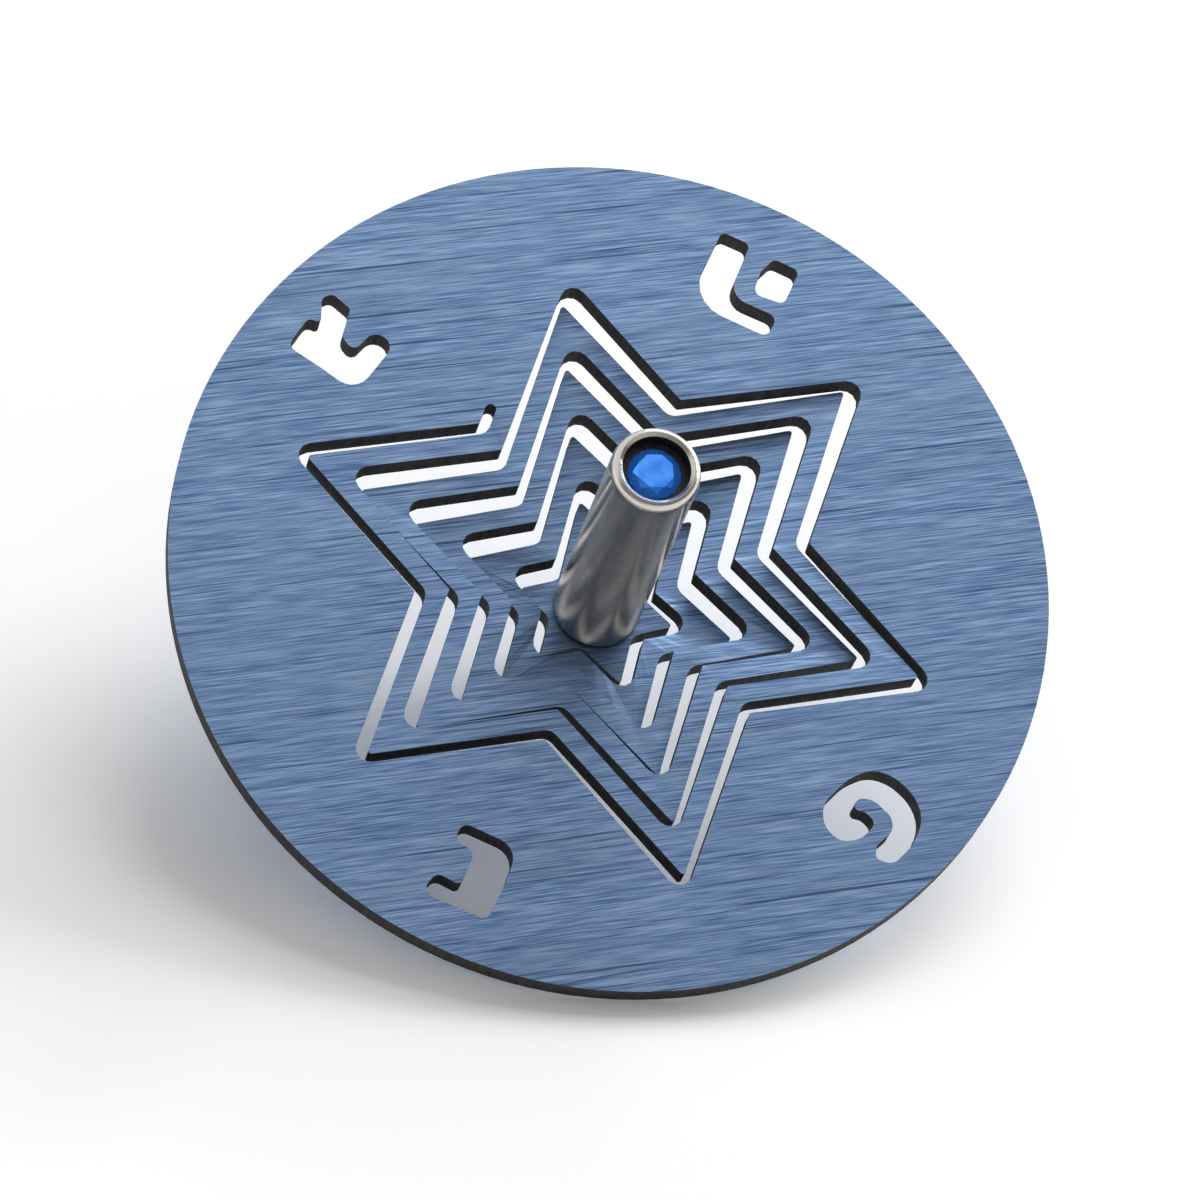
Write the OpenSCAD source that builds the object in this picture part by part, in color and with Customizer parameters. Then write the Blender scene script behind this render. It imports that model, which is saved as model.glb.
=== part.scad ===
// Disc dreidel with a spiral-cut star, a steel finger stem and a blue stone.
// Built upright on its spinning point, which is the origin. The stem points along +Z.
// The disc, its spiral arms and its hub are one sheet: a single slot winds inwards in five turns
// of a six-pointed star, and the arms that it leaves step down from the rim to the hub.

/* [Disc] */
// outer diameter of the disc
disc_d = 80; // [40:0.5:120]
// thickness of the sheet that the disc is cut from
sheet_t = 2.2; // [1:0.1:4]
// width of the small stub left on the rim where the blank was held
stub_w = 1.3; // [0.5:0.1:3]
// how far that stub stands out from the rim
stub_out = 0.45; // [0.1:0.05:1]

/* [Spiral star] */
// border between the rim and the sharp corners of the outermost slot's middle line
star_border = 9.3; // [6:0.1:14]
// gap between the stem's side and the middle line of the slot's innermost turn
stem_room = 0.35; // [0.1:0.05:1]
// how much closer to the axis one opposite pair of the star's sides lies than the others
star_flat = 0.45; // [0:0.05:0.8]
// width of the slot
slot_w = 1; // [0.5:0.05:1.4]
// radius of the slot's middle line at each corner of the star
slot_corner_r = 0.75; // [0.7:0.05:1.2]
// length of the slot's first stretch, before its first inner corner
slot_lead = 1.6; // [0.5:0.1:3]
// how far the hub lies below the disc
hub_drop = 9.5; // [0:0.1:15]
// how much lower the arms lie on the side of the slot's start than on the far side
ring_tilt = 0.95; // [0:0.1:2]

/* [Letters] */
// height of the cut-through letters
letter_h = 7.8; // [4:0.1:10]
// distance from the rim to the middle of each letter
letter_border = 8; // [6:0.1:12]

/* [Stem] */
// diameter of the stem
stem_d = 8; // [6:0.1:10]
// length of the stem, from the hub to its lip
stem_l = 31.8; // [20:0.1:50]
// diameter of the open bore in the stem's top
bore_d = 6; // [4:0.1:6.4]
// depth of that bore
bore_depth = 5.6; // [5:0.1:9]
// how far the rounding of the lip reaches in from the side
lip_in = 0.65; // [0.3:0.05:0.9]
// how far the rounding of the lip reaches down the side
lip_down = 1.3; // [0.5:0.05:2]
// width of the small bevel at the mouth of the bore
mouth_bevel = 0.3; // [0.1:0.05:0.5]
// radius of the rounded lower edge of the stem
foot_r = 0.6; // [0.2:0.05:1.2]

/* [Stone] */
// width of the stone at its girdle, across the corners
stone_d = 4.7; // [3:0.1:5.6]
// depth of the stone's flat table below the lip
stone_sunk = 0.8; // [0.5:0.1:3]
// height of the crown, from the girdle to the table
crown_h = 0.8; // [0.3:0.05:1.2]
// height of the pavilion below the girdle
pavilion_h = 1.9; // [1:0.1:2.4]

/* [Tip and stud] */
// length of the spinning tip below the hub
tip_h = 7.9; // [5:0.1:12]
// radius of the rounded spinning point
point_r = 1; // [0.5:0.1:2]
// height of the tip's straight collar
collar_h = 2; // [1:0.1:4]
// diameter of the stud that joins stem, hub and tip
stud_d = 3; // [2:0.1:4]
// depth of the stud in the stem
stud_up = 6; // [3:0.1:10]
// depth of the stud in the tip
stud_down = 3.5; // [2:0.1:5]
// gap all round between the stud and the hole in the hub
hub_gap = 0.1; // [0:0.05:0.3]

/* [Hidden] */
overrun = 0.5;
$fn = 96;

// Levels above the spinning point.
hub_top = tip_h + sheet_t;
disc_top = hub_top + hub_drop;
disc_bottom = disc_top - sheet_t;
stem_top = hub_top + stem_l;
girdle_z = stem_top - stone_sunk - crown_h;
bore_floor = stem_top - bore_depth;

// The star: turns of the slot and of the arms, and the shape of their descent.
slot_turns = 5;
sides = 12;
stem_r = stem_d / 2;
// A six-pointed star's points lie twice as far out as its straight sides.
star_reach = (disc_d / 2 - star_border) / 2;
last_reach = stem_r + stem_room;
slot_pitch = (star_reach - last_reach) / (slot_turns - 1);
slot_end = slot_turns * sides - 1;
last_corner = slot_end - sides;
arm_turns = last_corner / sides;
full_turn = 360;
first_normal = 180;
tip_step = 30;
drop_power = 1.5;
hub_twist = 5.5;
tilt_angle = -5;
arc_parts = 4;
side_parts = 3;
arc_share = 0.1;

// One straight side of the slot: the direction of its normal and its distance from the axis.
function side_normal(j) = (j % 2 == 0 ? first_normal : first_normal / 2) + tip_step * j;
// Every third side belongs to the opposite pair that lies closer in.
function flat_in(j) = j % 3 == 1 ? star_flat : 0;
function side_reach(j) = star_reach - flat_in(j) - slot_pitch * floor(j / sides);

// The crossing of two lines given by the angle of their normals and their distances.
function crossing(a, da, b, db) =
    [da * sin(b) - db * sin(a), db * cos(a) - da * cos(b)] / sin(b - a);

// A point of the slot's edge in the rounded corner j: off is plus half the width of the slot
// for its outer edge and minus half the width for its inner edge.
function corner_turn(j) = side_normal(j) - side_normal(j - 1);
function corner_hand(j) = corner_turn(j) > 0 ? 1 : -1;
function corner_centre(j) = crossing(
    side_normal(j - 1), side_reach(j - 1) - corner_hand(j) * slot_corner_r,
    side_normal(j), side_reach(j) - corner_hand(j) * slot_corner_r);
function edge_point(j, i, off) =
    let (a = side_normal(j - 1) + corner_turn(j) * i / arc_parts)
    corner_centre(j) + (corner_hand(j) * slot_corner_r + off) * [cos(a), sin(a)];

// The points of one corner, and then those along the straight side that follows it.
function corner_run(j, off) = [for (i = [0 : arc_parts]) edge_point(j, i, off)];
function side_run(j, off) =
    let (a = edge_point(j, arc_parts, off), b = edge_point(j + 1, 0, off))
    [for (i = [1 : side_parts - 1]) a + (b - a) * i / side_parts];
function edge_run(j0, j1, off) =
    [for (j = [j0 : j1]) for (p = concat(corner_run(j, off), side_run(j, off))) p];
function turn_run(j0, j1) =
    [for (j = [j0 : j1]) for (s = concat(
        [for (i = [0 : arc_parts]) arc_share * i / arc_parts],
        [for (i = [1 : side_parts - 1]) arc_share + (1 - arc_share) * i / side_parts])) (j + s) / sides];

// How far the arm has sunk, and turned, after t turns.
function arm_drop(t) = let (share = t / arm_turns) hub_drop * pow(share, drop_power)
    + ring_tilt * min(1, t) * (1 - share) * cos(full_turn * t - tilt_angle);
function turned(p, a) = [p[0] * cos(a) - p[1] * sin(a), p[0] * sin(a) + p[1] * cos(a)];
function placed(p, t, down) =
    let (u = min(t, arm_turns), q = turned(p, hub_twist * (u / arm_turns)))
    [q[0], q[1], disc_top - arm_drop(u) - down];

// The level at which the first stretch of the slot starts, measured along its side.
half_slot = slot_w / 2;
lead_y = edge_point(1, 0, 0)[1] + slot_lead;
arm_out_x = half_slot - star_reach;
arm_in_x = slot_pitch - half_slot - star_reach;

// Both edges of the arm, station by station, with the number of turns at each station.
// The first station is the face where the arm leaves the disc, the last where it meets the hub.
arm_outer = concat([[arm_out_x, lead_y]], edge_run(1, last_corner - 1, -half_slot),
    [edge_point(last_corner, 0, -half_slot)]);
arm_end = edge_point(slot_end, 0, half_slot);
arm_inner = concat([[arm_in_x, lead_y]], edge_run(sides + 1, slot_end - 1, half_slot), [arm_end]);
arm_turn = concat([0], turn_run(1, last_corner - 1), [arm_turns]);
stations = len(arm_turn);

// The hole in the disc: the outer edge of the first turn, the side that follows it, the root
// of the arm, and the round start of the slot.
function arc_run(c, r, a0, a1, n) =
    [for (i = [0 : n]) let (a = a0 + (a1 - a0) * i / n) c + r * [cos(a), sin(a)]];
star_hole = concat(edge_run(1, sides - 1, half_slot), corner_run(sides, half_slot),
    [[arm_in_x, lead_y]],
    arc_run([-star_reach, lead_y], half_slot, 0, 180, 2 * arc_parts));

// The hub: the inner edge of the last turn of the slot, closed round the slot's blunt end.
slot_tail = edge_point(slot_end, 0, 0);
tail_angle = side_normal(slot_end - 1);
tail_parts = 2 * arc_parts - 1;
tail_step = 180 / (2 * arc_parts);
hub_outline = [for (p = concat(edge_run(last_corner, slot_end - 1, -half_slot),
    arc_run(slot_tail, half_slot, tail_angle + 180, tail_angle + tail_step, tail_parts), [arm_end]))
    turned(p, hub_twist)];

// An outline with its corners rounded: each corner is [x, y, radius] and a radius that is too
// large for its two sides is cut down to fit.
fit_share = 0.49;
function unit(v) = v / norm(v);
function corner_arc(a, b, c, r, n) =
    let (u = unit(a - b), v = unit(c - b), d = acos(u * v), k = tan(90 - d / 2),
        t = min(r * k, fit_share * norm(a - b), fit_share * norm(c - b)), q = t / k,
        m = b + unit(u + v) * q / sin(d / 2), s0 = b + u * t - m, s1 = b + v * t - m,
        a0 = atan2(s0[1], s0[0]), sweep = atan2(s0[0] * s1[1] - s0[1] * s1[0], s0 * s1))
    [for (i = [0 : n]) m + q * [cos(a0 + sweep * i / n), sin(a0 + sweep * i / n)]];
function xy(p) = [p[0], p[1]];
function rounded(list, n) = [for (i = [0 : len(list) - 1])
    for (p = corner_arc(xy(list[(i + len(list) - 1) % len(list)]), xy(list[i]),
        xy(list[(i + 1) % len(list)]), list[i][2], n)) p];

// The four letters, drawn plainly as corners in shares of the letter's height.
// Each stands with its top towards the axis. The last number of a corner is its radius.
hei_shares = [[-0.46, 0.26, 0.1], [-0.45, 0.56, 0.1], [0.57, 0.57, 0.42], [0.57, -0.45, 0.08],
    [0.2, -0.46, 0.08], [0.17, 0.28, 0.22]];
hei_foot_shares = [[-0.46, 0.07, 0.08], [-0.08, 0.12, 0.1], [-0.05, -0.2, 0.15],
    [-0.13, -0.42, 0.08], [-0.46, -0.42, 0.08]];
gimel_shares = [[-0.38, 0.45, 0.2], [0.4, 0.52, 0.34], [0.44, 0.02, 0.3], [0.5, -0.44, 0.1],
    [0.05, -0.5, 0.12], [0.02, -0.34, 0.05], [-0.24, -0.55, 0.08], [-0.37, -0.5, 0.08],
    [-0.37, -0.22, 0.06], [-0.03, -0.06, 0.14], [0.02, 0.16, 0.12], [-0.36, 0.16, 0.18]];
nun_shares = [[-0.34, 0.46, 0.1], [0.34, 0.46, 0.3], [0.37, 0, 0.5], [0.36, -0.49, 0.1],
    [-0.45, -0.51, 0.18], [-0.38, -0.22, 0.1], [-0.08, -0.24, 0.06], [-0.08, 0.2, 0.12],
    [-0.36, 0.22, 0.14]];
pe_shares = [[-0.56, 0.02, 0.2], [-0.56, 0.28, 0.3], [-0.36, 0.47, 0.3], [0.06, 0.47, 0.6],
    [0.36, 0.36, 0.6], [0.49, 0.12, 0.6], [0.49, -0.22, 0.6], [0.33, -0.48, 0.6],
    [0.02, -0.59, 0.6], [-0.32, -0.59, 0.15], [-0.41, -0.4, 0.06], [-0.28, -0.3, 0.1],
    [-0.02, -0.32, 0.3], [0.1, -0.2, 0.3], [0.1, 0.1, 0.3], [-0.02, 0.24, 0.15],
    [-0.16, 0.18, 0.07], [-0.08, 0.06, 0.1], [-0.08, -0.12, 0.12], [-0.36, -0.13, 0.3]];
letter_parts = 5;
hei_angle = 85;
gimel_angle = 159;
nun_angle = 266;
pe_angle = 335.5;
stub_angle = 239.6;

module letter(shares) {
    polygon(rounded(shares * letter_h, letter_parts));
}

// Puts a letter at its angle on the disc, with its top towards the axis.
module letter_place(angle) {
    rotate(angle - 90)
        translate([0, disc_d / 2 - letter_border])
            rotate(180)
                children();
}

module arm() {
    points = [for (i = [0 : stations - 1]) for (p = [
        placed(arm_outer[i], arm_turn[i], 0), placed(arm_inner[i], arm_turn[i], 0),
        placed(arm_inner[i], arm_turn[i], sheet_t), placed(arm_outer[i], arm_turn[i], sheet_t)]) p];
    last = 4 * (stations - 1);
    faces = concat(
        [[0, 3, 2], [0, 2, 1], [last, last + 1, last + 2], [last, last + 2, last + 3]],
        [for (i = [0 : stations - 2]) let (a = 4 * i, b = a + 4) for (f = [
            [a, a + 1, b + 1], [a, b + 1, b],
            [a + 1, a + 2, b + 2], [a + 1, b + 2, b + 1],
            [a + 2, a + 3, b + 3], [a + 2, b + 3, b + 2],
            [a + 3, a, b], [a + 3, b, b + 3]]) f]);
    polyhedron(points, faces);
}

module disc() {
    translate([0, 0, disc_bottom])
        difference() {
            union() {
                cylinder(h = sheet_t, d = disc_d);
                rotate(stub_angle)
                    translate([disc_d / 2 - stub_w, -stub_w / 2])
                        cube([stub_w + stub_out, stub_w, sheet_t]);
            }
            translate([0, 0, -overrun])
                linear_extrude(sheet_t + 2 * overrun) {
                    polygon(star_hole);
                    letter_place(hei_angle) {
                        letter(hei_shares);
                        letter(hei_foot_shares);
                    }
                    letter_place(gimel_angle)
                        letter(gimel_shares);
                    letter_place(nun_angle)
                        letter(nun_shares);
                    letter_place(pe_angle)
                        letter(pe_shares);
                }
        }
}

module hub() {
    translate([0, 0, hub_top - sheet_t])
        linear_extrude(sheet_t)
            polygon(hub_outline);
}

// The whole sheet: disc, spiral arm and hub, with the hole for the stud.
module star_disc() {
    color([0.28, 0.4, 0.62])
        difference() {
            union() {
                disc();
                arm();
                hub();
            }
            translate([0, 0, hub_top - sheet_t - overrun])
                cylinder(h = sheet_t + 2 * overrun, d = stud_d + 2 * hub_gap);
        }
}

// Half outline of the stem: rounded foot, straight side, rounded lip and bevelled mouth.
lip_parts = 8;
quarter = 90;
function quarter_run(c, rx, ry, a0, n) =
    [for (i = [0 : n]) [c[0] + rx * cos(a0 + quarter * i / n), c[1] + ry * sin(a0 + quarter * i / n)]];
stem_outline = concat(
    [[0, hub_top]],
    quarter_run([stem_r - foot_r, hub_top + foot_r], foot_r, foot_r, -quarter, lip_parts),
    quarter_run([stem_r - lip_in, stem_top - lip_down], lip_in, lip_down, 0, lip_parts),
    [[bore_d / 2 + mouth_bevel, stem_top], [bore_d / 2, stem_top - mouth_bevel],
    [bore_d / 2, bore_floor], [0, bore_floor]]);

module stem() {
    color([0.6, 0.6, 0.6])
        difference() {
            rotate_extrude()
                polygon(stem_outline);
            translate([0, 0, hub_top - overrun])
                cylinder(h = stud_up + overrun, d = stud_d);
        }
}

// The cut stone: an eight-sided crown with a flat table over an eight-sided pavilion.
facets = 8;
table_share = 0.6;
culet_share = 0.06;
girdle_share = 0.12;
girdle_h = crown_h * girdle_share;

module stone() {
    color([0.1, 0.35, 0.9])
        union() {
            translate([0, 0, girdle_z + girdle_h])
                cylinder(h = crown_h - girdle_h, d1 = stone_d, d2 = stone_d * table_share, $fn = facets);
            translate([0, 0, girdle_z])
                cylinder(h = girdle_h, d = stone_d, $fn = facets);
            translate([0, 0, girdle_z - pavilion_h])
                cylinder(h = pavilion_h, d1 = stone_d * culet_share, d2 = stone_d, $fn = facets);
        }
}

// The bed of adhesive that fills the foot of the bore and holds the stone by its pavilion.
module stone_cement() {
    color([0.12, 0.1, 0.1])
        difference() {
            translate([0, 0, bore_floor])
                cylinder(h = girdle_z - bore_floor, d = bore_d);
            translate([0, 0, girdle_z - pavilion_h])
                cylinder(h = pavilion_h, d1 = stone_d * culet_share, d2 = stone_d, $fn = facets);
        }
}

module stud() {
    color([0.7, 0.7, 0.68])
        translate([0, 0, hub_top - sheet_t - stud_down])
            cylinder(h = stud_up + sheet_t + stud_down, d = stud_d);
}

// Half outline of the tip: round point, cone, collar with a small bevel under the hub.
cone_top = tip_h - collar_h;
cone_angle = atan2(stem_r - point_r, cone_top);
point_parts = 6;
tip_outline = concat(
    [for (i = [0 : point_parts]) let (a = -quarter + (quarter - cone_angle) * i / point_parts)
        [point_r * cos(a), point_r + point_r * sin(a)]],
    [[stem_r, cone_top], [stem_r, tip_h], [0, tip_h]]);

module spinning_tip() {
    color([0.6, 0.6, 0.6])
        difference() {
            rotate_extrude()
                polygon(tip_outline);
            translate([0, 0, tip_h - stud_down])
                cylinder(h = stud_down + overrun, d = stud_d);
        }
}

star_disc();
stem();
stone();
stone_cement();
stud();
spinning_tip();
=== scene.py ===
# %% [markdown]
# # A disc dreidel in a photographer's studio
#
# The object is a flat spinning top. One round sheet of blue anodised aluminium carries four
# cut-through letters and a star that one long slot cuts free, so that it hangs down in steps.
# A turned steel stem stands on the hub, with a blue stone in its bore, and a steel tip sits below.
# The solids come from CAD and stay as they are. This lesson gives them a camera, a table, light
# and finishes, and it makes the stone anew, because a cut stone lives from its facets.

# %% Load the solids
import math

import bmesh
import bpy
from mathutils import Matrix, Vector


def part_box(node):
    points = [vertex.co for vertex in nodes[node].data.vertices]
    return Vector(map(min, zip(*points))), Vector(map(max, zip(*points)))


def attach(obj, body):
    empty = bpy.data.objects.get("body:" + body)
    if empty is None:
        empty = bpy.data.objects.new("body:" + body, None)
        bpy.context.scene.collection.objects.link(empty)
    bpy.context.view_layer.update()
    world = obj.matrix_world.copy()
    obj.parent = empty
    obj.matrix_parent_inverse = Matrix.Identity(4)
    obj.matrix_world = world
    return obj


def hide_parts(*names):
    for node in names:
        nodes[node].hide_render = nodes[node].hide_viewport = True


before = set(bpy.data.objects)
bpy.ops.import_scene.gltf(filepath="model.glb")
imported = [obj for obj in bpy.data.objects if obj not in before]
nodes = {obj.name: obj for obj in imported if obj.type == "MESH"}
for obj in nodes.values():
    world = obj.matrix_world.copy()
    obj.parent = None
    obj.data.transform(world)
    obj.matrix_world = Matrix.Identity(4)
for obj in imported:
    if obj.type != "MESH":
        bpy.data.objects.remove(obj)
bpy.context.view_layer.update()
MM = 0.001
scene = bpy.context.scene
print("solids:", ", ".join(sorted(nodes)))

# %% [markdown]
# ## Levels
#
# Everything below is placed by the solids. Their boxes give most levels, so that the scene still
# fits when a size changes in CAD. Lengths are in metres, above the spinning point.

# %% Levels of the pieces
sheet_low, sheet_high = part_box("star_disc")
stem_low, stem_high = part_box("stem")
stone_low, stone_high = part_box("stone")
cement_low, cement_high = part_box("stone_cement")
tip_low, tip_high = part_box("spinning_tip")
DISC_RADIUS = 40 * MM
SHEET_THICKNESS = 2.2 * MM
DISC_TOP = sheet_high.z
DISC_UNDERSIDE = DISC_TOP - SHEET_THICKNESS
BORE_RADIUS = cement_high.x
for name, low, high in (("sheet", sheet_low, sheet_high), ("stem", stem_low, stem_high),
                        ("stone", stone_low, stone_high), ("cement", cement_low, cement_high),
                        ("tip", tip_low, tip_high)):
    print(name, "from", round(low.z / MM, 2), "to", round(high.z / MM, 2), "mm")

# %% [markdown]
# ## The camera
#
# The picture was taken with a long lens from well above the disc, so the rim is only a little
# narrower far away than it is near. A camera is a place, a direction and an idea of what is
# down in the picture. Those three fix its turn, and the lens fixes how much it sees.

# %% Camera
EYE = Vector((-0.011434, -0.213130, 0.478297))
LOOKING = Vector((0.022391, 0.415569, -0.909286)).normalized()
PICTURE_DOWN = Vector((0.354946, -0.853566, -0.381364)).normalized()
PICTURE_RIGHT = PICTURE_DOWN.cross(LOOKING).normalized()

camera_data = bpy.data.cameras.new("studio_camera")
camera_data.sensor_width = 36
camera_data.lens = 169.5
camera_data.clip_start = 0.01
camera_data.clip_end = 20
camera = bpy.data.objects.new("studio_camera", camera_data)
axes = Matrix((PICTURE_RIGHT, -PICTURE_DOWN, -LOOKING)).transposed()
camera.matrix_world = Matrix.Translation(EYE) @ axes.to_4x4()
scene.collection.objects.link(camera)
scene.camera = camera
print("camera is", round(EYE.length, 3), "m away and looks down at",
      round(math.degrees(math.asin(-LOOKING.z)), 1), "degrees")

# %% [markdown]
# ## The table
#
# At rest the top leans over and stands on two places: its tip and one place on the rim. Here
# the top stays upright, because its solids may not move, and the table leans instead. The tip
# is a small ball, so the table touches that ball and passes through the edge of the rim.

# %% Lean of the table
CONTACT_ANGLE = math.radians(-70)
TIP_BALL = 1 * MM
rim_above_ball = DISC_UNDERSIDE - TIP_BALL
reach = math.hypot(DISC_RADIUS, rim_above_ball)
lean = math.atan2(rim_above_ball, DISC_RADIUS) + math.asin(TIP_BALL / reach)
toward_contact = Vector((math.cos(CONTACT_ANGLE), math.sin(CONTACT_ANGLE), 0))
table_up = Vector((0, 0, 1)) * math.cos(lean) - toward_contact * math.sin(lean)
tip_ball_centre = Vector((0, 0, TIP_BALL))
table_point = tip_ball_centre - table_up * TIP_BALL
table_right = (PICTURE_RIGHT - table_up * PICTURE_RIGHT.dot(table_up)).normalized()
table_back = table_up.cross(table_right)
print("the top leans", round(math.degrees(lean), 2), "degrees")


def on_table(right, back, up):
    """A place in the studio: metres to the right, away from the camera, and above the table."""
    return table_point + table_right * right + table_back * back + table_up * up


# %% [markdown]
# The table top is one square face, made flat by create_grid and then laid on the leaning plane.
# The same small function that ends it also ends every other mesh of this lesson.

# %% Table top
def finished(name, bm):
    """Makes a bmesh into an object that sits at the origin, with its place in its mesh."""
    mesh = bpy.data.meshes.new(name)
    bm.to_mesh(mesh)
    bm.free()
    obj = bpy.data.objects.new(name, mesh)
    scene.collection.objects.link(obj)
    return obj


TABLE_HALF = 1.5
table_turn = Matrix((table_right, table_back, table_up)).transposed().to_4x4()
bm = bmesh.new()
bmesh.ops.create_grid(bm, x_segments=1, y_segments=1, size=TABLE_HALF)
bmesh.ops.transform(bm, matrix=Matrix.Translation(table_point) @ table_turn, verts=bm.verts)
table = finished("studio_table", bm)
print("table of", 2 * TABLE_HALF, "m")

# %% [markdown]
# ## Tools for materials
#
# A material is a small net of nodes. These helpers add a node, set its values and link it, so
# that each recipe below reads like a list of steps. Effects that several finishes share are
# node groups: built once, with named inputs, and placed with other values in each material.

# %% Helpers for nodes
def add(tree, kind, inputs=None, **settings):
    """Adds a node. Settings are its own properties; values and links go to its inputs."""
    node = tree.nodes.new(kind)
    for key, value in settings.items():
        setattr(node, key, value)
    for key, value in (inputs or {}).items():
        socket = node.inputs[key]
        if isinstance(value, bpy.types.NodeSocket):
            tree.links.new(value, socket)
        else:
            socket.default_value = value
    return node


def maths(tree, operation, a, b=0.0, c=0.0, clamp=False):
    """One Math node, and the value that it puts out."""
    return add(tree, "ShaderNodeMath", {0: a, 1: b, 2: c}, operation=operation,
               use_clamp=clamp).outputs[0]


def spread(tree, value, low, high, new_low=0.0, new_high=1.0, kind="LINEAR"):
    """Spreads the range from low to high over a new one, and stops at its ends."""
    return add(tree, "ShaderNodeMapRange", {"Value": value, "From Min": low, "From Max": high,
               "To Min": new_low, "To Max": new_high}, interpolation_type=kind).outputs["Result"]


def blend_colours(tree, share, first, second):
    """Mixes two colours by a share from 0, the first, to 1, the second."""
    return add(tree, "ShaderNodeMix", {0: share, 6: first, 7: second},
               data_type="RGBA").outputs[2]


def blend_values(tree, share, first, second):
    """Mixes two values by a share from 0, the first, to 1, the second."""
    return add(tree, "ShaderNodeMix", {0: share, 2: first, 3: second},
               data_type="FLOAT").outputs[0]


def new_group(name, inputs, outputs):
    """A node group with named inputs and outputs, and the two nodes that stand for them."""
    tree = bpy.data.node_groups.new(name, "ShaderNodeTree")
    for label, value in inputs.items():
        kind = "NodeSocketVector" if isinstance(value, tuple) else "NodeSocketFloat"
        socket = tree.interface.new_socket(name=label, in_out="INPUT", socket_type=kind)
        socket.default_value = value
    for label, kind in outputs.items():
        tree.interface.new_socket(name=label, in_out="OUTPUT", socket_type=kind)
    return tree, tree.nodes.new("NodeGroupInput").outputs, tree.nodes.new("NodeGroupOutput")


def use_group(tree, group, inputs):
    """Places a group in a material, and gives its outputs."""
    return add(tree, "ShaderNodeGroup", inputs, node_tree=group).outputs


def new_material(name):
    """A material with one Principled shader. Gives the material, its nodes and that shader."""
    material = bpy.data.materials.new(name)
    material.use_nodes = True
    tree = material.node_tree
    return material, tree, tree.nodes["Principled BSDF"]


def raise_by(tree, shader, height, strength, distance):
    """Gives a shader a relief: a height of 1 stands for a distance in metres."""
    bump = add(tree, "ShaderNodeBump",
               {"Strength": strength, "Distance": distance, "Height": height})
    tree.links.new(bump.outputs["Normal"], shader.inputs["Normal"])


def dress(node_name, material):
    """Gives a CAD solid its material, without touching its mesh."""
    solid = nodes[node_name]
    solid.data.materials.clear()
    solid.data.materials.append(material)
    print(node_name, "wears", material.name)


# %% [markdown]
# ## Brushed grain
#
# Sheet metal is brushed with an abrasive belt. It leaves fine lines of one direction, some a
# few millimetres long and some right across. Noise makes them when it is squeezed hard across
# the grain and stretched along it. Three such noises of different fineness add up to a belt's
# mixture of lines. A soft, wide noise makes whole patches a little greyer, and two sparse ones,
# of which only the peaks are kept, give the crisp dark scratches.

# %% Group for brushed grain
GRAIN_ANGLE = math.radians(30)
grain_group, given, result = new_group(
    "brushed grain",
    {"Place": (0.0, 0.0, 0.0), "Turn": 0.0},
    {"Lines": "NodeSocketFloat", "Clouds": "NodeSocketFloat", "Dark lines": "NodeSocketFloat"})
turned = add(grain_group, "ShaderNodeVectorRotate",
             {"Vector": given["Place"], "Angle": given["Turn"]}, rotation_type="Z_AXIS")
parts = add(grain_group, "ShaderNodeSeparateXYZ", {0: turned.outputs[0]})


def stretched_noise(along, across, detail, seed):
    """Noise with so many waves a metre along the grain and across it."""
    x = maths(grain_group, "MULTIPLY", parts.outputs["X"], along)
    y = maths(grain_group, "MULTIPLY", parts.outputs["Y"], across)
    z = maths(grain_group, "ADD", parts.outputs["Z"], seed)
    place = add(grain_group, "ShaderNodeCombineXYZ", {0: x, 1: y, 2: z})
    return add(grain_group, "ShaderNodeTexNoise", {"Vector": place.outputs[0], "Scale": 1.0,
               "Detail": detail, "Roughness": 0.6}).outputs["Fac"]


# Of each noise: its waves a metre along the grain and across it, its detail and its seed.
FINE_LINES = (260, 8000, 1, 0.0)
MIDDLE_LINES = (100, 3600, 2, 7.0)
WIDE_LINES = (28, 900, 2, 17.0)
CLOUDS = (22, 260, 2, 41.0)
THICK_SCRATCHES = (38, 3300, 1, 31.0)
THIN_SCRATCHES = (60, 6400, 1, 53.0)
lines = 0.0
for noise, share in ((FINE_LINES, 0.48), (MIDDLE_LINES, 0.38), (WIDE_LINES, 0.14)):
    lines = maths(grain_group, "MULTIPLY_ADD", stretched_noise(*noise), share, lines)
clouds = stretched_noise(*CLOUDS)
thick = spread(grain_group, stretched_noise(*THICK_SCRATCHES), 0.63, 0.70)
thin = spread(grain_group, stretched_noise(*THIN_SCRATCHES), 0.64, 0.72)
for label, value in (("Lines", spread(grain_group, lines, 0.39, 0.61)),
                     ("Clouds", spread(grain_group, clouds, 0.35, 0.65)),
                     ("Dark lines", maths(grain_group, "MAXIMUM", thick, thin))):
    grain_group.links.new(value, result.inputs[label])
print("grain runs at", round(math.degrees(GRAIN_ANGLE)), "degrees,", len(grain_group.nodes), "nodes")

# %% [markdown]
# ## Cut edges
#
# A jet of water and grit cuts the sheet after it has its colour, so every cut wall is bare,
# dull and rough, with faint lines from top to bottom. Which places are walls can be read from
# the surface itself: there its direction is level, and on the sheet's two faces it is upright.

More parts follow.
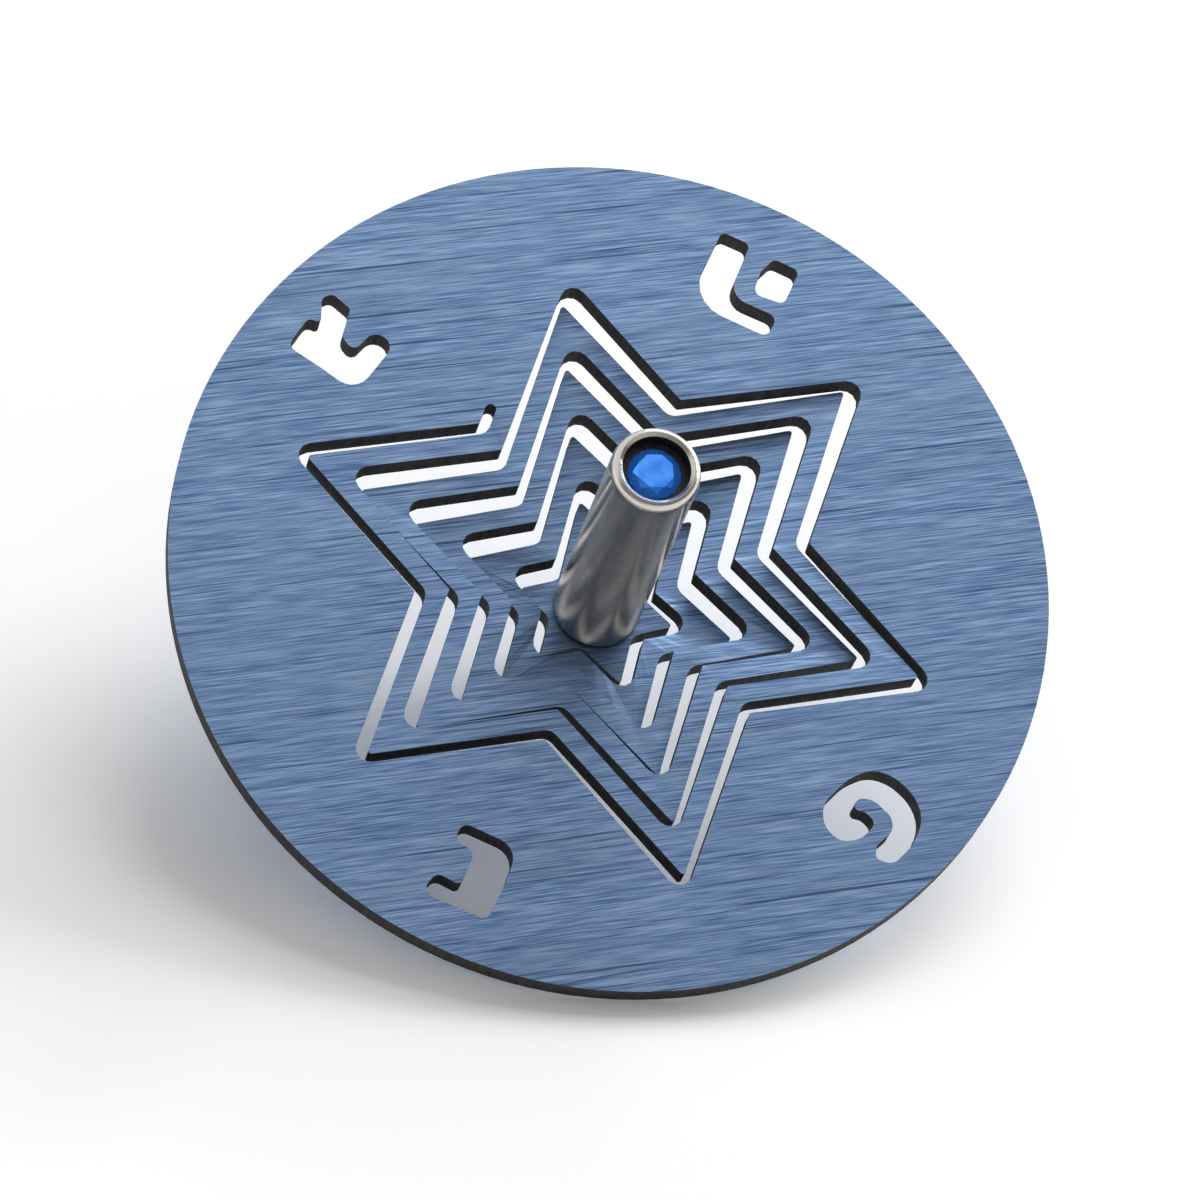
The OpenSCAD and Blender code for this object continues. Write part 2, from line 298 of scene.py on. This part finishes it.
# %% Group for cut walls
wall_group, given, result = new_group(
    "cut walls",
    {"Place": (0.0, 0.0, 0.0), "Direction": (0.0, 0.0, 1.0)},
    {"Wall": "NodeSocketFloat", "Pits": "NodeSocketFloat", "Ripples": "NodeSocketFloat"})
upright = maths(wall_group, "ABSOLUTE",
                add(wall_group, "ShaderNodeSeparateXYZ", {0: given["Direction"]}).outputs["Z"])
wall_group.links.new(spread(wall_group, upright, 0.6, 0.5), result.inputs["Wall"])
PIT_SCALE = 2600.0
pits = add(wall_group, "ShaderNodeTexNoise", {"Vector": given["Place"], "Scale": PIT_SCALE,
           "Detail": 3.0, "Roughness": 0.7})
wall_group.links.new(pits.outputs["Fac"], result.inputs["Pits"])
RIPPLE_SCALE = 3000.0
RIPPLE_DRAWN = (1.0, 1.0, 0.12)
drawn = add(wall_group, "ShaderNodeVectorMath", {0: given["Place"], 1: RIPPLE_DRAWN},
            operation="MULTIPLY")
ripples = add(wall_group, "ShaderNodeTexNoise", {"Vector": drawn.outputs[0],
              "Scale": RIPPLE_SCALE, "Detail": 1.0})
wall_group.links.new(ripples.outputs["Fac"], result.inputs["Ripples"])
print("group", wall_group.name, "with", len(wall_group.nodes), "nodes")

# %% [markdown]
# ## Turning marks
#
# The stem and the tip come from a lathe. The tool travels along the axis while the bar spins,
# and leaves rings that follow each other closely. Here they come from the height, and on flat
# ends from the radius, with a little unevenness, so that they run straight round.

# %% Group for turned rings
ring_group, given, result = new_group(
    "turned rings",
    {"Place": (0.0, 0.0, 0.0), "Rings a metre": 9000.0},
    {"Rings": "NodeSocketFloat", "Radius": "NodeSocketFloat", "Height": "NodeSocketFloat"})
parts = add(ring_group, "ShaderNodeSeparateXYZ", {0: given["Place"]})
out_from_axis = add(ring_group, "ShaderNodeCombineXYZ",
                    {0: parts.outputs["X"], 1: parts.outputs["Y"], 2: 0.0})
radius = add(ring_group, "ShaderNodeVectorMath", {0: out_from_axis.outputs[0]},
             operation="LENGTH").outputs["Value"]
travel = maths(ring_group, "ADD", parts.outputs["Z"], radius)
UNEVENNESS = 60.0
ring_place = add(ring_group, "ShaderNodeCombineXYZ",
                 {0: maths(ring_group, "MULTIPLY", travel, given["Rings a metre"]),
                  1: maths(ring_group, "MULTIPLY", parts.outputs["X"], UNEVENNESS),
                  2: maths(ring_group, "MULTIPLY", parts.outputs["Y"], UNEVENNESS)})
rings = add(ring_group, "ShaderNodeTexNoise", {"Vector": ring_place.outputs[0], "Scale": 1.0,
            "Detail": 3.0, "Roughness": 0.6})
ring_group.links.new(rings.outputs["Fac"], result.inputs["Rings"])
ring_group.links.new(radius, result.inputs["Radius"])
ring_group.links.new(parts.outputs["Z"], result.inputs["Height"])
print("group", ring_group.name, "with", len(ring_group.nodes), "nodes")

# %% [markdown]
# ## The blue sheet
#
# Anodising grows a thin coloured skin on the aluminium and lets the brushed lines shine
# through. So this is a metal with a blue base colour. The lines change both its colour and its
# roughness, and a very slight bump lets them catch the light. The base colour goes from deep
# over middle to pale along the lines, then towards grey in patches, and dark in the scratches.

# %% Material of the sheet
BLUE_DEEP = (0.075, 0.145, 0.315, 1)
BLUE_MIDDLE = (0.184, 0.290, 0.490, 1)
BLUE_PALE = (0.335, 0.475, 0.710, 1)
BLUE_GREY = (0.190, 0.290, 0.450, 1)
BLUE_LINE = (0.028, 0.056, 0.135, 1)
WALL_DARK = (0.016, 0.015, 0.016, 1)
WALL_PALE = (0.085, 0.080, 0.080, 1)
CLOUD_GREYING = 0.4
SCRATCH_DARKNESS = 0.75
FACE_ROUGHNESS = (0.46, 0.36)
WALL_ROUGHNESS = 0.85
WALL_METALLIC = 0.3
SHEET_RELIEF = 0.02 * MM

sheet_blue, tree, shader = new_material("blue_anodised_sheet")
place = add(tree, "ShaderNodeTexCoord")
grain = use_group(tree, grain_group, {"Place": place.outputs["Object"], "Turn": -GRAIN_ANGLE})
walls = use_group(tree, wall_group, {"Place": place.outputs["Object"],
                                     "Direction": place.outputs["Normal"]})
lower = blend_colours(tree, spread(tree, grain["Lines"], 0.0, 0.5), BLUE_DEEP, BLUE_MIDDLE)
blue = blend_colours(tree, spread(tree, grain["Lines"], 0.5, 1.0), lower, BLUE_PALE)
greying = maths(tree, "MULTIPLY", grain["Clouds"], CLOUD_GREYING)
blue = blend_colours(tree, greying, blue, BLUE_GREY)
darkening = maths(tree, "MULTIPLY", grain["Dark lines"], SCRATCH_DARKNESS)
blue = blend_colours(tree, darkening, blue, BLUE_LINE)
bare = blend_colours(tree, walls["Ripples"], WALL_DARK, WALL_PALE)
tree.links.new(blend_colours(tree, walls["Wall"], blue, bare), shader.inputs["Base Color"])
face_rough = spread(tree, grain["Lines"], 0.0, 1.0, *FACE_ROUGHNESS)
tree.links.new(blend_values(tree, walls["Wall"], face_rough, WALL_ROUGHNESS),
               shader.inputs["Roughness"])
tree.links.new(blend_values(tree, walls["Wall"], 1.0, WALL_METALLIC), shader.inputs["Metallic"])
relief = blend_values(tree, walls["Wall"], grain["Lines"], walls["Pits"])
raise_by(tree, shader, relief, 0.25, SHEET_RELIEF)
dress("star_disc", sheet_blue)

# %% [markdown]
# ## The steel stem
#
# The side of the stem is satin and its lip is polished. The bore's wall has drill rings and is
# dark, partly from the adhesive and partly as painted shade of the deep, narrow bore. The three
# zones are told apart by radius and height. Fine turning marks smear a reflection along the stem
# and leave it sharper round it, so the finish is anisotropic: its tangent runs round the axis, and
# a quarter turn lays the smear along it.

# %% Material of the stem
STEEL = (0.62, 0.58, 0.53, 1)
STEEL_DULL = (0.40, 0.365, 0.32, 1)
# Painted shade: the two bore colours stand for the shade deep in the narrow bore, as well as for
# adhesive residue on its wall.
BORE_SHADE_AND_RESIDUE_DARK = (0.020, 0.014, 0.010, 1)
BORE_SHADE_AND_RESIDUE_BROWN = (0.130, 0.095, 0.070, 1)
STEM_RINGS = 9000.0
BORE_RINGS = 3600.0
LIP_DOWN = 1.3 * MM
ZONE_EDGE = 0.01 * MM
BORE_ZONE = 7 * MM
SATIN = (0.18, 0.27)
LIP_POLISH = 0.06
BORE_DULLNESS = 0.1
STEM_RELIEF = 0.02 * MM

stem_steel, tree, shader = new_material("turned_steel_stem")
place = add(tree, "ShaderNodeTexCoord")
rings = use_group(tree, ring_group,
                  {"Place": place.outputs["Object"], "Rings a metre": STEM_RINGS})
near_axis = spread(tree, rings["Radius"], BORE_RADIUS + 2 * ZONE_EDGE, BORE_RADIUS + ZONE_EDGE)
bore_height = stem_high.z - BORE_ZONE
in_bore = maths(tree, "MULTIPLY", near_axis,
                spread(tree, rings["Height"], bore_height, bore_height + 10 * ZONE_EDGE))
on_lip = maths(tree, "MULTIPLY",
               spread(tree, rings["Height"], stem_high.z - LIP_DOWN, stem_high.z - 0.8 * LIP_DOWN),
               maths(tree, "SUBTRACT", 1.0, in_bore))
stains = add(tree, "ShaderNodeTexNoise", {"Vector": place.outputs["Object"], "Scale": 260.0,
             "Detail": 4.0, "Roughness": 0.55}).outputs["Fac"]
side = blend_colours(tree, spread(tree, rings["Rings"], 0.3, 0.7), STEEL_DULL, STEEL)
side = blend_colours(tree, spread(tree, stains, 0.5, 0.75, 0.0, 0.5), side, STEEL_DULL)
side = blend_colours(tree, on_lip, side, STEEL)
bore_rings = use_group(tree, ring_group,
                       {"Place": place.outputs["Object"], "Rings a metre": BORE_RINGS})
# Painted shade in the bore: its wall takes these dark colours for the shade of the recess and for
# adhesive residue.
bore = blend_colours(tree, spread(tree, bore_rings["Rings"], 0.45, 0.65), BORE_SHADE_AND_RESIDUE_DARK, BORE_SHADE_AND_RESIDUE_BROWN)
tree.links.new(blend_colours(tree, in_bore, side, bore), shader.inputs["Base Color"])
satin = spread(tree, stains, 0.3, 0.7, *SATIN)
satin = maths(tree, "SUBTRACT", satin, maths(tree, "MULTIPLY", on_lip, LIP_POLISH))
tree.links.new(maths(tree, "ADD", satin, maths(tree, "MULTIPLY", in_bore, BORE_DULLNESS)),
               shader.inputs["Roughness"])
shader.inputs["Metallic"].default_value = 1.0
shader.inputs["Anisotropic"].default_value = 0.8
shader.inputs["Anisotropic Rotation"].default_value = 0.25
around = add(tree, "ShaderNodeTangent", direction_type="RADIAL", axis="Z")
tree.links.new(around.outputs[0], shader.inputs["Tangent"])
raise_by(tree, shader, rings["Rings"], 0.2, STEM_RELIEF)
dress("stem", stem_steel)

# %% [markdown]
# ## Tip and stud
#
# Both are hidden in the picture. The tip is turned like the stem, in wider rings, and worn
# smooth where it spins. The stud is a threaded rod, whose thread shows here as close rings.

# %% Materials of the tip and the stud
TIP_RINGS = 5200.0
TIP_RELIEF = 0.03 * MM
WORN_BELOW = 0.4 * MM
FRESH_ABOVE = 1.2 * MM
TIP_ROUGHNESS = 0.32
WORN_ROUGHNESS = 0.16
tip_steel, tree, shader = new_material("turned_steel_tip")
place = add(tree, "ShaderNodeTexCoord")
rings = use_group(tree, ring_group,
                  {"Place": place.outputs["Object"], "Rings a metre": TIP_RINGS})
worn = spread(tree, rings["Height"], FRESH_ABOVE, WORN_BELOW)
colour = blend_colours(tree, spread(tree, rings["Rings"], 0.3, 0.7), STEEL_DULL, STEEL)
tree.links.new(blend_colours(tree, worn, colour, STEEL), shader.inputs["Base Color"])
tree.links.new(blend_values(tree, worn, TIP_ROUGHNESS, WORN_ROUGHNESS), shader.inputs["Roughness"])
shader.inputs["Metallic"].default_value = 1.0
raise_by(tree, shader, rings["Rings"], 0.35, TIP_RELIEF)
dress("spinning_tip", tip_steel)

THREAD_PITCH = 0.5 * MM
THREAD_DEPTH = 0.3 * MM
stud_steel, tree, shader = new_material("threaded_steel_stud")
place = add(tree, "ShaderNodeTexCoord")
height = add(tree, "ShaderNodeSeparateXYZ", {0: place.outputs["Object"]}).outputs["Z"]
thread = maths(tree, "PINGPONG", height, THREAD_PITCH / 2)
thread = spread(tree, thread, 0.0, THREAD_PITCH / 2)
tree.links.new(blend_colours(tree, thread, STEEL_DULL, STEEL), shader.inputs["Base Color"])
shader.inputs["Roughness"].default_value = 0.3
shader.inputs["Metallic"].default_value = 1.0
raise_by(tree, shader, thread, 1.0, THREAD_DEPTH)
dress("stud", stud_steel)

# %% [markdown]
# ## The cement
#
# The stone sits in a bed of dark adhesive. It cured with a soft sheen and a few specks.

# %% Material of the cement
CEMENT_DARK = (0.012, 0.010, 0.010, 1)
CEMENT_PALE = (0.050, 0.042, 0.038, 1)
CEMENT_RELIEF = 0.05 * MM
cement_dark, tree, shader = new_material("dark_cement")
place = add(tree, "ShaderNodeTexCoord")
specks = add(tree, "ShaderNodeTexNoise", {"Vector": place.outputs["Object"], "Scale": 4000.0,
             "Detail": 3.0}).outputs["Fac"]
tree.links.new(blend_colours(tree, spread(tree, specks, 0.45, 0.7), CEMENT_DARK, CEMENT_PALE),
               shader.inputs["Base Color"])
tree.links.new(spread(tree, specks, 0.3, 0.7, 0.35, 0.55), shader.inputs["Roughness"])
raise_by(tree, shader, specks, 0.3, CEMENT_RELIEF)
dress("stone_cement", cement_dark)

# %% [markdown]
# ## The stone
#
# Small stones like this are glass with a blue foil behind them, so that they shine even down
# in a dark bore. A real cut has more facets than the plain solid of the frame: a flat table, a
# ring of star facets round it, and narrower ones down to the girdle. Rings of corners are made
# with create_circle, and convex_hull draws the facets between them, as a cutter's flat cuts
# would. The new stone keeps the size and the place of the one that it stands for.

# %% Cut stone
STONE_RADIUS = stone_high.x
FACETS = 8
CROWN = 0.8 * MM
GIRDLE = stone_high.z - CROWN
PAVILION = GIRDLE - stone_low.z
GIRDLE_BAND = 0.10 * MM
HALF_FACET = math.pi / FACETS
# Each ring of corners: its share of the radius, its height, its corners and its turn.
stone_rings = [
    (0.70, stone_high.z, FACETS, 0.0),
    (0.88, stone_high.z - 0.42 * CROWN, FACETS, HALF_FACET),
    (1.00, GIRDLE + GIRDLE_BAND, 2 * FACETS, 0.0),
    (1.00, GIRDLE, 2 * FACETS, 0.0),
    (0.52, GIRDLE - 0.55 * PAVILION, FACETS, HALF_FACET),
    (0.06, stone_low.z, FACETS, 0.0)]
bm = bmesh.new()
for share, height, corners, turn in stone_rings:
    place = Matrix.Translation((0, 0, height)) @ Matrix.Rotation(turn, 4, "Z")
    bmesh.ops.create_circle(bm, segments=corners, radius=share * STONE_RADIUS, matrix=place)
bmesh.ops.convex_hull(bm, input=bm.verts)
bmesh.ops.dissolve_limit(bm, angle_limit=math.radians(1), verts=bm.verts, edges=bm.edges)
bmesh.ops.recalc_face_normals(bm, faces=bm.faces)
cut_stone = finished("cut_stone", bm)
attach(cut_stone, "root")
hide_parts("stone")
print("cut stone with", len(cut_stone.data.polygons), "facets")

# %% [markdown]
# The foil gives the colour, and the polished glass over it gives sharp, pale reflections. So
# the base is a blue mirror with soft patches of light and dark, and a clear coat lies over it.
# A weak glow stands for the light that the foil sends back up through the facets.

# %% Material of the stone
FOIL_DEEP = (0.020, 0.170, 0.800, 1)
FOIL_BRIGHT = (0.055, 0.330, 1.000, 1)
FOIL_GLOW = (0.030, 0.250, 1.000, 1)

stone_glass, tree, shader = new_material("blue_foiled_glass")
place = add(tree, "ShaderNodeTexCoord")
depth = add(tree, "ShaderNodeTexNoise", {"Vector": place.outputs["Object"], "Scale": 700.0,
            "Detail": 1.0}).outputs["Fac"]
tree.links.new(blend_colours(tree, spread(tree, depth, 0.35, 0.6), FOIL_DEEP, FOIL_BRIGHT),
               shader.inputs["Base Color"])
shader.inputs["Metallic"].default_value = 1.0
shader.inputs["Roughness"].default_value = 0.22
shader.inputs["IOR"].default_value = 1.58
shader.inputs["Coat Weight"].default_value = 1.0
shader.inputs["Coat Roughness"].default_value = 0.02
shader.inputs["Coat IOR"].default_value = 1.58
shader.inputs["Emission Color"].default_value = FOIL_GLOW
shader.inputs["Emission Strength"].default_value = 0.25
cut_stone.data.materials.append(stone_glass)
dress("stone", stone_glass)

# %% [markdown]
# ## Light
#
# A white room gives some light from every side. It is white to the camera and through glass.
# Reflections see the same white room, but it gets darker on the side where the photographer
# stands, and that darkness models the steel stem.

# %% World
WHITE = (1, 1, 1, 1)
AMBIENT = 0.38
DARK_SIDE = 0.25
DARKENING = (-0.20, 0.32)
world = bpy.data.worlds.new("studio_world")
scene.world = world
world.use_nodes = True
tree = world.node_tree
backdrop = tree.nodes["Background"]
rays = add(tree, "ShaderNodeLightPath").outputs
dark_way = (table_right * 0.25 - table_back).normalized()
direction = add(tree, "ShaderNodeTexCoord").outputs["Generated"]
toward_camera = add(tree, "ShaderNodeVectorMath", {0: direction, 1: tuple(dark_way)},
                    operation="DOT_PRODUCT").outputs["Value"]
room = spread(tree, toward_camera, *DARKENING, 1.0, DARK_SIDE, kind="SMOOTHSTEP")
mirrored = maths(tree, "MULTIPLY", rays["Is Glossy Ray"], maths(tree, "SUBTRACT", room, AMBIENT))
lighting = maths(tree, "ADD", AMBIENT, mirrored)
direct = maths(tree, "ADD", rays["Is Camera Ray"], rays["Is Transmission Ray"], clamp=True)
strength = maths(tree, "MAXIMUM", lighting, direct)
tree.links.new(strength, backdrop.inputs["Strength"])
backdrop.inputs["Color"].default_value = WHITE
print("the room gives", AMBIENT, "of white as light")

# %% [markdown]
# The table is white paper. The camera, reflections and glass see it pure white, and it glows
# a little for them, more so far from the object. So the background stays white where the lamps
# fall off, while the light that it throws back onto the object is that of plain paper. From
# underneath it is clear, so that it never hides the object.

# %% Table
GLOW_STARTS = 60 * MM
GLOW_FULL = 130 * MM
GLOW_NEAR = 0.07
GLOW_FAR = 0.36
PAPER = (0.85, 0.85, 0.84, 1)
table_white, tree, shader = new_material("white_table")
output = tree.nodes["Material Output"]
rays = add(tree, "ShaderNodeLightPath").outputs
seen = maths(tree, "ADD", rays["Is Camera Ray"], rays["Is Glossy Ray"])
seen = maths(tree, "ADD", seen, rays["Is Transmission Ray"], clamp=True)
tree.links.new(blend_colours(tree, seen, PAPER, WHITE), shader.inputs["Base Color"])
shader.inputs["Roughness"].default_value = 0.9
shader.inputs["Specular IOR Level"].default_value = 0.0
shader.inputs["Emission Color"].default_value = WHITE
place = add(tree, "ShaderNodeTexCoord")
far_out = add(tree, "ShaderNodeVectorMath",
              {0: place.outputs["Object"], 1: tuple(on_table(0, 0, 0))},
              operation="DISTANCE").outputs["Value"]
glow = spread(tree, far_out, GLOW_STARTS, GLOW_FULL, GLOW_NEAR, GLOW_FAR, kind="SMOOTHSTEP")
tree.links.new(maths(tree, "MULTIPLY", seen, glow), shader.inputs["Emission Strength"])
clear = add(tree, "ShaderNodeBsdfTransparent")
from_below = add(tree, "ShaderNodeNewGeometry").outputs["Backfacing"]
sides = add(tree, "ShaderNodeMixShader", {0: from_below, 1: shader.outputs[0],
                                          2: clear.outputs[0]})
tree.links.new(sides.outputs[0], output.inputs["Surface"])
table.data.materials.append(table_white)
print("the table glows fully", round(GLOW_FULL / MM), "mm from the spinning point")

# %% [markdown]
# Two large soft boxes light the top from behind and from the right. One hangs high and one
# stands low, so the shadow is soft and falls towards the front left.

# %% Lamps
LAMP_WARMTH = (1.0, 0.985, 0.955)
LAMP_DISTANCE = 1.6


def soft_box(name, round_degrees, up_degrees, width, height, watts):
    """A glowing rectangle that faces the top. Its place is given by two angles over the table."""
    round_about, upward = math.radians(round_degrees), math.radians(up_degrees)
    along_table = LAMP_DISTANCE * math.cos(upward)
    place = on_table(along_table * math.cos(round_about), along_table * math.sin(round_about),
                     LAMP_DISTANCE * math.sin(upward))
    data = bpy.data.lights.new(name, "AREA")
    data.shape = "RECTANGLE"
    data.size, data.size_y = width, height
    data.energy = watts
    data.color = LAMP_WARMTH
    obj = bpy.data.objects.new(name, data)
    turn = (on_table(0, 0, 0) - place).to_track_quat("-Z", "Y")
    obj.matrix_world = Matrix.Translation(place) @ turn.to_matrix().to_4x4()
    obj.visible_camera = False
    scene.collection.objects.link(obj)
    print(name, "at", [round(v, 2) for v in place], "with", watts, "W")
    return obj


soft_box("low_softbox", 33, 18, 1.0, 0.6, 25)
soft_box("high_softbox", 68, 45, 1.1, 0.9, 12.5)

# %% Finish
scene.view_settings.view_transform = "Standard"
